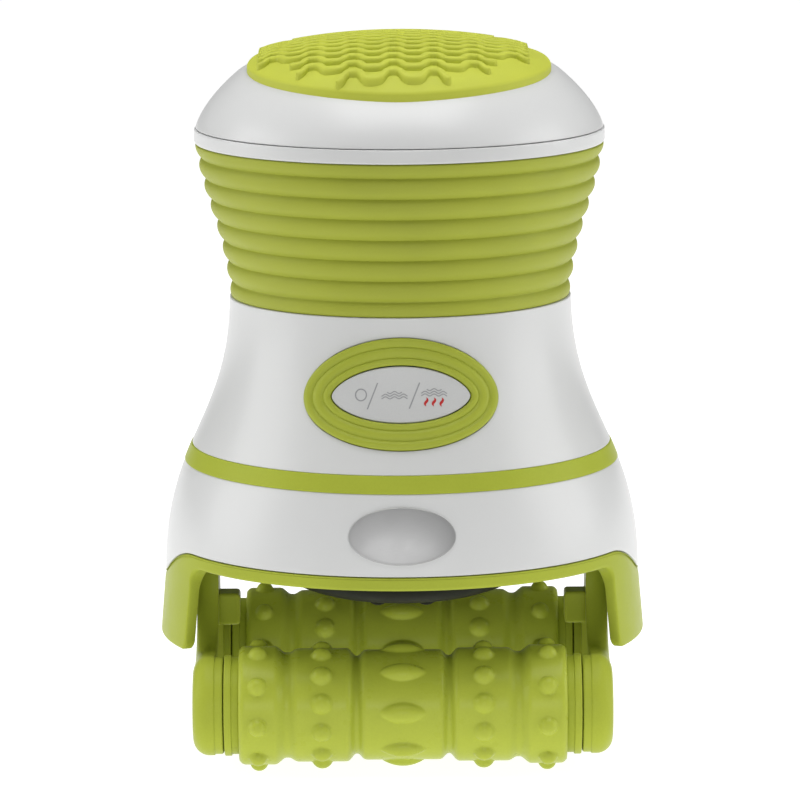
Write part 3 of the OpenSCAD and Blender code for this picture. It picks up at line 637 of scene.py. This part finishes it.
def switch_bezel():
    proud, groove, depth = 1.0, 0.52, 1.2
    bounds = (0.0, 2.15, 4.75, bezel_w)
    profile = [(0, -depth), (0, 0.15)]
    for low, high in zip(bounds, bounds[1:]):
        for s in np.linspace(-1, 1, 15)[0 if low == 0 else 1:]:
            inset = low + (high - low) * (s + 1) / 2
            profile.append((inset, proud - (proud - groove) * abs(s) ** 2.6))
    profile += [(bezel_w, 0.15), (bezel_w, -depth)]
    piece("switch_bezel", [swept(SWITCH, bezel_half, profile)], "massager", "bezel_green", crease=50)


def mode_button():
    gap, proud, depth = 0.25, 0.6, 2.6
    profile = [(bezel_w + gap, -depth)] + edge_arc(bezel_w + gap, proud, 0.35)
    piece("mode_button", [swept(SWITCH, bezel_half, profile, closed=False)], "button", "button_white")


def stroke(path, width, rise=0.6, thick=0.035):
    """A printed line on the button, as a thin raised strip; width may change along it"""
    path = np.array(path, float)
    run = np.gradient(path, axis=0)
    run /= np.linalg.norm(run, axis=1, keepdims=True)
    out = np.stack([-run[:, 1], run[:, 0]], -1) * (np.asarray(width) / 2 * np.ones(len(path)))[:, None]
    rows = [on_body(SWITCH, *side.T, rise + lift) for side, lift in
            ((path + out, -0.05), (path + out, thick), (path - out, thick), (path - out, -0.05))]
    points, faces = surface(np.array(rows), close_rows=True, close_cols=False)
    n = len(path)
    faces += [[0, n, 2 * n, 3 * n], [4 * n - 1, 3 * n - 1, 2 * n - 1, n - 1]]
    return points, faces


def pictograms():
    """Off, massage and massage with heat: a circle, waves, and waves over three flames"""
    line = 0.3
    turn = np.linspace(0, TAU, 49)
    marks = [stroke(np.stack([-9.55 + 1.3 * np.cos(turn), 0.1 + 1.42 * np.sin(turn)], -1), line)]
    for x in (-6.8, 3.2):
        marks.append(stroke([(x + 1.25 * s, 3.2 * s - 0.25) for s in np.linspace(-1, 1, 9)], line))

    def wave(middle, y, half, height=0.25, pitch=2.15):
        x = np.linspace(-half, half, 60)
        return stroke(np.stack([middle + x, y + height * np.cos(x * TAU / pitch)], -1), 0.8 * line)

    for middle, top in ((-1.55, 0.55), (7.9, 1.25)):
        marks += [wave(middle, top, 1.75), wave(middle, top - 0.65, 3.1), wave(middle, top - 1.3, 3.1)]
    piece("marks", marks, "button", "mark_grey", stands_for=("mode_button",))
    s = np.linspace(-1, 1, 15)
    flames = [stroke(np.stack([x + 0.3 * np.sin(s * TAU / 2), -1.75 + 1.1 * s], -1), 0.62 * (1.05 - s * s))
              for x in (6.0, 7.85, 9.7)]
    piece("heat_marks", flames, "button", "mark_red", stands_for=("mode_button",))


def badge_plate():
    profile = [(0, -0.3)] + edge_arc(0, 0.5, 0.35)
    piece("badge_plate", [swept(BADGE, badge_half, profile, closed=False)], "massager", "badge_silver")


# ---- housings ----

def upper_housing():
    outer = stretch_of(FLARE, band_z1 + 0.5, sleeve_z0 - 0.6, 56)
    inner = stretch_of(FLARE, sleeve_z0 - 3.2, band_z1, 20, wall)
    shelf_r = neck_r - 3.6
    shelf = [(neck_r, sleeve_z0, 0.4), (shelf_r, sleeve_z0, 0.2), (shelf_r, sleeve_z0 - 3.2, 0.2)]
    corners = [(flare_r(band_z1), band_z1, 0.3)] + outer + shelf + inner
    housing = object_from("upper_housing_look", [lathe(rounded(corners), 288)])
    recess = object_from("recess", [swept(SWITCH, bezel_half, [(-0.22, -1.25), (-0.22, 3)], closed=False)])
    opening = object_from("opening", [swept(SWITCH, bezel_half, [(bezel_w, -4), (bezel_w, 2)], closed=False)])
    for cutter in (recess, opening):
        shade(cutter)
    shade(housing)
    cut(housing, recess, opening)
    finished(housing, "massager", "white_shell", ("upper_housing",))


def accent_band():
    proud, thick = 0.15, 3.2
    outer = stretch_of(FLARE, band_z0 + 0.45, band_z1 - 0.45, 8, -proud)
    corners = [(flare_r(band_z0) + proud, band_z0, 0.35)] + outer + [
        (flare_r(band_z1) + proud, band_z1, 0.35), (flare_r(band_z1) - thick, band_z1, 0.2),
        (flare_r(band_z0) - thick, band_z0, 0.2)]
    piece("accent_band", [lathe(rounded(corners), 288)], "massager", "lime_gloss")


def tongue_edge(y):
    """Height of a tongue's lower edge and of the flat edge beside it"""
    t = np.minimum(np.abs(y) / tongue_half_w, 1)
    return tongue_z0 + (skirt_z0 - tongue_z0) * t * t * (3 - 2 * t)


def lower_housing():
    angle = np.arange(480) * TAU / 480
    edge_r = 0.4
    low = tongue_edge(skirt_r * np.sin(angle))
    rows = [(flare_r(band_z0) - wall + 0 * angle, band_z0 + 0 * angle)]
    top_r = 0.3
    for a in np.linspace(TAU / 4, 0, 5):
        rows.append((flare_r(band_z0) - top_r * (1 - math.cos(a)) + 0 * angle,
                     band_z0 - top_r * (1 - math.sin(a)) + 0 * angle))
    for s in np.linspace(0, 1, 30)[1:]:
        z = (band_z0 - top_r) * (1 - s) + (low + edge_r) * s
        rows.append((flare_r(z), z))
    for a in np.linspace(0, TAU / 4, 5)[1:]:
        z = low + edge_r * (1 - math.sin(a))
        rows.append((flare_r(low + edge_r) - edge_r * (1 - math.cos(a)), z))
    rows += [(tongue_inner_r + 0 * angle, low), (tongue_inner_r + 0 * angle, skirt_z0 + 0 * angle),
             (flare_r(skirt_z0) - wall + 0 * angle, skirt_z0 + 0.02 + 0 * angle)]
    for s in np.linspace(0, 1, 12)[1:-1]:
        z = skirt_z0 + (band_z0 - skirt_z0) * s
        rows.append((flare_r(z) - wall + 0 * angle, z + 0 * angle))
    points = np.array([np.stack([r * np.cos(angle), r * np.sin(angle), z], -1) for r, z in rows])
    piece("lower_housing", [surface(points, close_rows=True)], "massager", "white_shell")


# ---- heat dome ----

def heat_dome():
    low, high = BOX["heat_dome"]
    flange_r, flange_t = high[X], 2.0
    thick, nodule_r, nodule_place = 1.8, 3.0, 12.0
    bottom = low[Z] + 0.6
    side_r = 37.6
    curve = [(0, bottom), (20.95, bottom), (36.88, bottom + 3.6), (side_r, high[Z] - flange_t)]
    outer = bezier(curve, 110)
    inner = bezier([(max(r - thick, 0), min(z + thick, high[Z] - flange_t)) for r, z in curve], 30)[::-1]
    rim = rounded([(side_r, high[Z] - flange_t, 0), (flange_r, high[Z] - flange_t, 0.3),
                   (flange_r, high[Z], 0.3), (inner[0, 0], high[Z], 0.2)])[1:]
    steps = 300
    points, faces = lathe(np.concatenate([outer, rim, inner]), steps, closed=False)
    shown = points[:len(outer) * steps]
    angle = np.arctan2(shown[:, 1], shown[:, 0])
    off = (angle + TAU / 12) % (TAU / 6) - TAU / 12
    reach = np.hypot(shown[:, 0], shown[:, 1])
    gap = np.hypot(reach * np.cos(off) - nodule_place, reach * np.sin(off))
    ball = low[Z] + nodule_r - np.sqrt(np.maximum(nodule_r ** 2 - gap ** 2, 0))
    shown[:, 2] = np.where(gap < nodule_r, np.minimum(shown[:, 2], ball), shown[:, 2])
    piece("heat_dome", [(points, faces)], "massager", "smoked_dome", crease=50)


# ---- roller head ----

axle_y = BOX["rear_axle"][HIGH][Y] / 2 + BOX["rear_axle"][LOW][Y] / 2
axle_z = BOX["rear_axle"][HIGH][Z] / 2 + BOX["rear_axle"][LOW][Z] / 2
axle_r = (BOX["rear_axle"][HIGH][Z] - BOX["rear_axle"][LOW][Z]) / 2
ring_r = BOX["clip_ring"][HIGH][Y]
ring_z0 = 49.3
ring_top = skirt_z0 - tongue_gap
ear_r = BOX["clip_ring"][HIGH][X]
ear_z0 = BOX["clip_ring"][LOW][Z]
ear_half_w = 28.0
flange_z0 = 50.1


def arc(centre, radius, start, end, steps):
    """Points of a circular arc, by angles in degrees"""
    a = np.radians(np.linspace(start, end, steps + 1))
    return np.stack([centre[0] + radius * np.cos(a), centre[1] + radius * np.sin(a)], -1)


def straight(start, end, steps):
    s = np.linspace(0, 1, steps + 1)[:, None]
    return np.array(start) * (1 - s) + np.array(end) * s


def clip_ring():
    corner_r, fillet = 2.4, 4.0
    low_edge, top_edge = 0.9, 0.35
    outside = np.array([(ear_r, ear_z0), (skirt_r, tongue_z0), (ring_r, ring_top)])
    thickness = np.array([(2.7, ear_z0), (2.65, tongue_z0), (4.4, ring_z0), (4.4, ring_top)])

    # A quarter of the lower edge, from the middle of an ear to the front, as [y, z]
    lower = np.concatenate([
        straight((0, ear_z0), (ear_half_w - corner_r, ear_z0), 16)[:-1],
        arc((ear_half_w - corner_r, ear_z0 + corner_r), corner_r, -90, 0, 10)[:-1],
        straight((ear_half_w, ear_z0 + corner_r), (ear_half_w, ring_z0 - fillet), 14)[:-1],
        arc((ear_half_w + fillet, ring_z0 - fillet), fillet, 180, 90, 12)])
    upper_y = np.concatenate([np.linspace(0, 12, 17)[:-1], np.linspace(12, 15, 11)[:-1],
                              np.linspace(15, ear_half_w - 4, 15)[:-1],
                              np.linspace(ear_half_w - 4, ear_half_w + fillet, 13)])
    upper = np.stack([upper_y, tongue_edge(upper_y) - tongue_gap], -1)

    def turned(path):
        """[angle, z] of a quarter path, carried on round to the front"""
        angle = np.arcsin(path[:, 0] / radius_at(outside, path[:, 1]))
        front = np.linspace(angle[-1], TAU / 4, 48)[1:]
        quarter = np.concatenate([np.stack([angle, path[:, 1]], -1),
                                  np.stack([front, np.full(len(front), path[-1, 1])], -1)])
        half = np.concatenate([quarter, (quarter * (-1, 1) + (TAU / 2, 0))[-2::-1]])
        return np.concatenate([half, (half * (-1, 1) + (TAU, 0))[-2:0:-1]])

    bottom, top = turned(lower), turned(upper)
    length = np.hypot(ring_r * (top - bottom)[:, 0], (top - bottom)[:, 1])

    def row(share, sink):
        """One ring of points: a share of the way up, sunk by a depth; from zero down, past the inner face"""
        place = bottom + (top - bottom) * share[:, None]
        deep = radius_at(thickness, place[:, 1])
        r = radius_at(outside, place[:, 1]) - (deep + sink if sink <= 0 else sink)
        return np.stack([r * np.cos(place[:, 0]), r * np.sin(place[:, 0]), place[:, 1]], -1)

    tiny = 1e-4
    quarter = np.linspace(0, TAU / 4, 6)
    rows = [row(low_edge * (1 - math.cos(a)) / length, low_edge * (1 - math.sin(a)) + tiny) for a in quarter]
    for s in np.linspace(0, 1, 14)[1:-1]:
        rows.append(row(low_edge / length * (1 - s) + (1 - top_edge / length) * s, tiny))
    rows += [row(1 - top_edge * (1 - math.sin(a)) / length, top_edge * (1 - math.cos(a)) + tiny)
             for a in quarter[::-1]]
    rows += [row(1 - top_edge * (1 - math.cos(a)) / length, top_edge * (1 - math.sin(a)) + tiny)
             for a in quarter[:0:-1]]
    inner_edge = 0.3
    rows.append(row(1 + 0 * length, -inner_edge))
    for s in np.linspace(1, 0, 10):
        rows.append(row(inner_edge / length * (1 - s) + (1 - inner_edge / length) * s, 0.0))
    rows.append(row(0 * length, -inner_edge))
    band = surface(np.array(rows), close_rows=True)

    low_r, high_r = BOX["heat_dome"][HIGH][X] + 0.9, ring_r - 1
    collar_inner_r, collar_outer_r = 53.2, 55.2
    flange = lathe(rounded([(low_r, flange_z0, 0.4), (high_r, flange_z0, 0.1), (high_r, ring_top, 0.1),
                            (low_r, ring_top, 0.4)]), 240)
    collar_top = BOX["clip_ring"][HIGH][Z]
    collar = lathe(rounded([(collar_inner_r, flange_z0 + 1, 0.1), (collar_outer_r, flange_z0 + 1, 0.1),
                            (collar_outer_r, collar_top, 0.6), (collar_inner_r, collar_top, 0.4)]), 240)
    meshes = [band, flange, collar]
    web_half = math.asin((ear_half_w - 2.5) / tongue_inner_r)
    web_r, web_inner_r, web_foot_r = tongue_inner_r - 0.25, 54.7, 56.7
    web_z0, web_z1 = tongue_z0 - 1.5, ring_top - 0.1
    web_outline = rounded([(web_r, web_z0, 0), (web_r, web_z1, 0.2), (web_inner_r, web_z1, 0),
                           (web_inner_r, ring_z0, 0), (web_foot_r, web_z0, 0)])
    for middle in (0, TAU / 2):
        meshes.append(lathe(web_outline, 60, arc=(middle - web_half, middle + web_half)))
    piece("clip_ring", meshes, "roller_head", "lime_gloss")


def plate_section(inset):
    """The side plate's outline in [y, z], moved inwards"""
    lobe_r = axle_z - BOX["right_side_plate"][LOW][Z]
    bar_top, neck_half, fillet = 27.6, 6.5, 16.0
    top = math.degrees(math.asin((bar_top - inset - axle_z) / (lobe_r - inset)))
    half = np.concatenate([
        arc((axle_y, axle_z), lobe_r - inset, -90, 180 - top, 44),
        arc((neck_half + fillet, bar_top + fillet), fillet + inset, -90, -180, 24),
        [(neck_half - inset, flange_z0 + 0.3)]])
    return np.concatenate([half, half[::-1] * (-1, 1)])


def side_plate(name, side):
    low, high = BOX["right_side_plate"]
    inner_x, outer_x = 45.9, high[X]
    outer_r, inner_r = 4.0, 0.5
    steps = [(inner_r * (1 - math.sin(a)), inner_x + inner_r * (1 - math.cos(a)))
             for a in np.linspace(0, TAU / 4, 5)]
    steps += [(outer_r * (1 - math.cos(a)), outer_x - outer_r * (1 - math.sin(a)))
              for a in np.linspace(0, TAU / 4, 13)]
    rings = []
    for inset, x in steps:
        section = plate_section(inset)
        rings.append(np.concatenate([np.full((len(section), 1), x), section], 1))
    points, faces = surface(np.array(rings))
    n = len(rings[0])
    faces += [list(range(n))[::-1], list(range(len(points) - n, len(points)))]
    meshes = [(points, faces)]
    boss_x, boss_r = 43.95, 11.9
    for end in (-1, 1):
        boss = rounded([(axle_r + 0.02, boss_x, 0.3), (boss_r, boss_x, 0.5), (boss_r, inner_x + 1, 0),
                        (axle_r + 0.02, inner_x + 1, 0)])
        meshes.append(laid_on_axle(lathe(boss, 96), (0, end * axle_y, axle_z)))
    peg_half_y, peg_z0, peg_z1 = 4.0, 29.8, 37.8
    meshes.append(block((low[X], -peg_half_y, peg_z0), (inner_x + 1, peg_half_y, peg_z1), 0.9))
    meshes = [(p * (side, 1, 1), f) for p, f in meshes]
    piece(name, meshes, "roller_head", "lime_gloss", weighted=True)


# ---- rollers and hubs ----

def soft_top(height, blend):
    """Keeps a bump above the surface and blends its foot into it"""
    return 0.5 * (height + np.sqrt(height ** 2 + blend ** 2))


def roller(name, side, turn):
    end_r, side_r, mid_r = 14.55, 13.9, 13.5
    half_l = BOX[name][HIGH][X]
    half = np.array([(0, mid_r), (9.2, mid_r), (9.8, mid_r - 0.3), (10.8, mid_r - 1.5), (11.8, mid_r - 1.5),
                     (12.8, side_r - 0.5), (13.5, side_r), (25.9, side_r), (26.6, side_r - 0.3),
                     (27.6, side_r - 1), (29, side_r - 1), (30.1, end_r - 0.7), (31, end_r), (38.9, end_r),
                     (39.8, end_r - 0.4), (half_l, end_r - 1.2)])
    x = np.linspace(-half_l, half_l, 261)
    fine = np.linspace(-half_l - 3, half_l + 3, 1501)
    spread = np.exp(-0.5 * (np.arange(-30, 31) * (fine[1] - fine[0]) / 0.28) ** 2)
    smooth = np.convolve(np.interp(np.abs(fine), half[:, 0], half[:, 1]), spread / spread.sum(), "same")
    base = np.interp(x, fine, smooth)
    steps = 320
    angle = np.arange(steps) * TAU / steps
    radius = base[:, None] + 0 * angle
    lift = 0 * radius

    def gaps(count, phase):
        """Arc distance from every point to the nearest bump of a row"""
        first = math.radians(180 - phase - turn)
        off = (angle - first + TAU / count / 2) % (TAU / count) - TAU / count / 2
        return radius * off

    def arch(gap, reach):
        """A half circle over the gap, carried on downwards outside its reach"""
        return np.where(gap < reach, np.sqrt(np.maximum(reach ** 2 - gap ** 2, 0)), reach - gap)

    blend = 0.16
    for row_x, count, phase, height, foot in ((35.4, 9, 30.5, 1.9, 2.25), (19.8, 12, 13.5, 1.7, 2.5)):
        ball = (height ** 2 + foot ** 2) / (2 * height)
        for end in (-1, 1):
            gap = np.hypot(x[:, None] - end * row_x, gaps(count, phase))
            lift = np.maximum(lift, soft_top(arch(gap, ball) - ball + height, blend))
    half_long, half_wide, height = 6.5, 2.65, 1.75
    lemon_r = (half_long ** 2 + half_wide ** 2) / (2 * half_wide)
    girth = np.sqrt(np.maximum(lemon_r ** 2 - x ** 2, 0)) - lemon_r + half_wide
    girth = np.maximum(girth, 0.02)[:, None]
    rise = arch(np.abs(gaps(8, 3.5)), girth) + height - half_wide
    lift = np.maximum(lift, np.where(np.abs(x)[:, None] < half_long, soft_top(rise, blend), 0))
    radius = radius + np.where(lift > 0.03, lift, 0)

    bore = 9.0
    rows = [np.full(steps, bore)] + list(radius) + [np.full(steps, bore)]
    along = np.concatenate([[-half_l], x, [half_l]])
    centre = np.array((0, side * axle_y, axle_z))
    points = np.array([centre + np.stack([a + 0 * angle, r * np.cos(angle), r * np.sin(angle)], -1)
                       for a, r in zip(along, rows)])
    piece(name, [surface(points, close_rows=True)], name, "roller_green", crease=60)


def hub(name, side, end, body):
    low, high = BOX[name]
    x0, x1 = sorted((abs(low[X]), abs(high[X])))
    flange_r = (high[Z] - low[Z]) / 2
    spigot_r, collar_r, face_x, flange_x = 8.9, 11.95, 40.1, 41.9
    bore_r = axle_r + 0.05
    outline = rounded([(bore_r, x0, 0.2), (spigot_r, x0, 0.4), (spigot_r, face_x, 0), (collar_r, face_x, 0.2),
                       (collar_r, flange_x, 0.15), (flange_r, flange_x, 0.35), (flange_r, x1, 0.35),
                       (bore_r, x1, 0.3)])
    mesh = laid_on_axle(lathe(outline, 128), (0, 0, 0))
    points = mesh[0] * (end, 1, 1) + (0, side * axle_y, axle_z)
    piece(name, [(points, mesh[1])], body, "lime_gloss")


# ---- cells ----

def battery_cells():
    for name in [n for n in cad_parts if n.startswith("battery_cell_")]:
        low, high = BOX[name]
        middle = (low + high) / 2
        r = (high[X] - low[X]) / 2
        can_top = high[Z] - 1.3
        groove_z, button_r = can_top - 0.25, 2.6
        outline = rounded([(0, low[Z], 0), (r, low[Z], 0.5), (r, can_top, 0.9), (4.0, can_top, 0.2),
                           (3.8, groove_z, 0.2), (button_r, groove_z, 0.2), (button_r, high[Z], 0.4),
                           (0, high[Z], 0)])
        points, faces = lathe(outline, 96, closed=False)
        piece(name, [(points + (middle[0], middle[1], 0), faces)], "massager", "cell_jacket")


# ---- stage, light and camera ----

def soft_box(name, place, size, power, aim):
    lamp = bpy.data.lights.new(name, "AREA")
    lamp.shape = "RECTANGLE"
    lamp.size, lamp.size_y = size
    lamp.energy = power
    obj = bpy.data.objects.new(name, lamp)
    obj.location = place
    obj.rotation_euler = (Vector(aim) - Vector(place)).to_track_quat("-Z", "Y").to_euler()
    bpy.context.scene.collection.objects.link(obj)


def stage():
    """A pale floor that glows behind and under the object, and fades towards the front"""
    low, high = cad_bounds
    reach = 8.0
    data = bpy.data.meshes.new("floor")
    data.from_pydata([(x * reach, y * reach, low.z) for x, y in ((-1, -1), (1, -1), (1, 1), (-1, 1))], [],
                     [(0, 1, 2, 3)])
    floor = bpy.data.objects.new("floor", data)
    bpy.context.scene.collection.objects.link(floor)
    look = Look("floor")
    tone = look.mix(look.noise(60, 3.0), (0.4, 0.4, 0.4), (0.42, 0.42, 0.42))
    look.link(tone, look.shader.inputs["Base Color"])
    look.shader.inputs["Roughness"].default_value = 0.7
    look.shader.inputs["Emission Color"].default_value = (1, 1, 1, 1)
    along = look.nodes.new("ShaderNodeSeparateXYZ")
    look.link(look.place, along.inputs[0])
    glow = look.ranged(along.outputs["Y"], -0.45, -0.1, 0.25, 0.93)
    look.link(glow, look.shader.inputs["Emission Strength"])
    data.materials.append(look.material)

    world = bpy.data.worlds.new("studio")
    world.use_nodes = True
    world.node_tree.nodes["Background"].inputs["Color"].default_value = (1, 1, 1, 1)
    world.node_tree.nodes["Background"].inputs["Strength"].default_value = 0.12
    scene = bpy.context.scene
    scene.world = world
    scene.view_settings.view_transform = "Standard"
    # The low front box looks in under the skirt at the rear roller
    aim = (low + high) / 2
    for side in (-1, 1):
        soft_box("side_box", (side * 1.15, 0.0, 0.45), (0.8, 0.8), 4.8, aim)
    soft_box("top_box", (0, -0.05, 1.1), (0.9, 0.9), 10.0, aim)
    soft_box("front_box", (0, -1.8, 0.36), (1.2, 0.25), 6.2, aim)


def camera():
    pitch, roll = math.radians(9.47), math.radians(0.35)
    distance = 1.335
    aim = Vector((-0.00025, 0, 0.0862))
    data = bpy.data.cameras.new("camera")
    data.sensor_width = 36
    data.lens = 240.3
    obj = bpy.data.objects.new("camera", data)
    obj.location = aim + distance * Vector((0, -math.cos(pitch), math.sin(pitch)))
    obj.rotation_euler = Matrix.Rotation(TAU / 4 - pitch, 3, "X").to_euler()
    obj.rotation_euler.rotate_axis("Z", -roll)
    bpy.context.scene.collection.objects.link(obj)
    bpy.context.scene.camera = obj


camera()
stage()
dress_kept_nodes()
palm_pad()
pad_ribs()
top_cap()
cap_trim()
grip_sleeve()
upper_housing()
switch_bezel()
mode_button()
pictograms()
accent_band()
lower_housing()
badge_plate()
heat_dome()
clip_ring()
side_plate("left_side_plate", -1)
side_plate("right_side_plate", 1)
roller("front_roller", -1, 0)
roller("rear_roller", 1, 135.5)
for row, side in (("front", -1), ("rear", 1)):
    hub(row + "_left_hub", side, -1, row + "_roller")
    hub(row + "_right_hub", side, 1, row + "_roller")
battery_cells()
